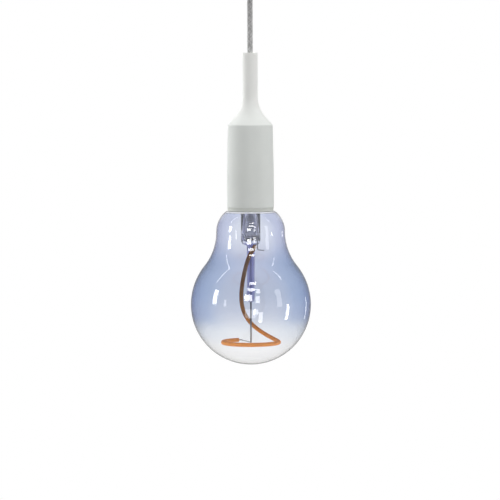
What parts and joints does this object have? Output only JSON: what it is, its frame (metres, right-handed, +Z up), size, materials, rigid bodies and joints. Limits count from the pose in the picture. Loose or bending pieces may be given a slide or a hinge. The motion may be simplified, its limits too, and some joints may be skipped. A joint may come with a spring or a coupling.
{
  "type": "led filament bulb in a pendant lampholder",
  "caption": "Bell-shaped LED filament bulb with a spiral filament on a glass stem, screwed into a soft pendant lampholder that a textile cord hangs from a ceiling cup.",
  "frame": {"origin": "on the ceiling, midway between the two fixing holes of the ceiling strap", "axes": "+Z up into the ceiling, the lamp hangs along -Z on its own axis, the front faces -Y, and the two fixing holes lie along X"},
  "size_m": [0.12, 0.12, 0.4286],
  "materials": {
    "white_enamel": "satin enamel on drawn steel",
    "zinc_plated_steel": "zinc plated",
    "white_nylon": "moulded",
    "natural_nylon": "moulded",
    "bare_brass": "turned",
    "brown_sheath": "extruded",
    "blue_sheath": "extruded",
    "grey_braid": "woven textile over two cores",
    "white_silicone": "matt moulded silicone",
    "white_socket_plastic": "moulded",
    "steatite": "pressed and fired",
    "nickel_plate": "nickel plated, rolled",
    "spring_steel": "drawn wire",
    "blue_tinted_glass": "blown, tinted towards the top",
    "stem_glass": "drawn and pressed",
    "nickel_wire": "drawn wire",
    "orange_silicone": "phosphor-filled silicone",
    "cap_cement": "baked",
    "black_vitrite": "pressed black glass",
    "green_board": "laminate",
    "black_epoxy": "moulded",
    "resistor_lacquer": "dipped"
  },
  "bodies": {
    "holder": {"ceiling_strap": "zinc_plated_steel", "ceiling_cup": "white_enamel", "thumb_screws": "zinc_plated_steel", "cord_grip": "white_nylon", "grip_nut": "white_nylon", "grip_screw": "white_nylon", "terminal_block": "natural_nylon", "block_barrels": "bare_brass", "block_screws": "zinc_plated_steel", "live_tail": "brown_sheath", "neutral_tail": "blue_sheath", "cord": "grey_braid", "holder_sleeve": "white_silicone", "socket_cap": "white_socket_plastic", "clamp_screw": "white_nylon", "live_terminal": "bare_brass", "shell_terminal": "bare_brass", "terminal_screws": "zinc_plated_steel", "live_core": "brown_sheath", "neutral_core": "blue_sheath", "socket_insert": "steatite", "socket_barrel": "white_socket_plastic", "insert_screws": "zinc_plated_steel", "screw_shell": "nickel_plate", "contact_spring": "spring_steel"},
    "contact": {"centre_contact": "bare_brass"},
    "bulb": {"glass_envelope": "blue_tinted_glass", "glass_stem": "stem_glass", "feed_lead": "nickel_wire", "centre_wire": "nickel_wire", "foot_wire": "nickel_wire", "led_filament": "orange_silicone", "filament_tabs": "nickel_wire", "cap_shell": "nickel_plate", "cap_cement": "cap_cement", "cap_insulator": "black_vitrite", "tip_contact": "bare_brass", "driver_board": "green_board", "driver_capacitor": "black_epoxy", "driver_rectifier": "black_epoxy", "fuse_resistor": "resistor_lacquer", "tip_wire": "nickel_wire", "shell_wire": "nickel_wire"}
  },
  "joints": [
    {"name": "contact_travel", "type": "slide", "parent": "holder", "child": "contact", "axis": [0, 0, -1], "range_m": [0, 0.01089], "deforming": ["contact_spring"]},
    {"name": "bulb_turn", "type": "hinge", "parent": "contact", "child": "bulb", "pos_m": [0, 0, -0.27], "axis": [0, 0, -1], "range_deg": [0, 1080]}
  ],
  "couplings": [
    {"joint": "contact_travel", "follows": "bulb_turn", "m_per_rad": 0.00057757}
  ]
}
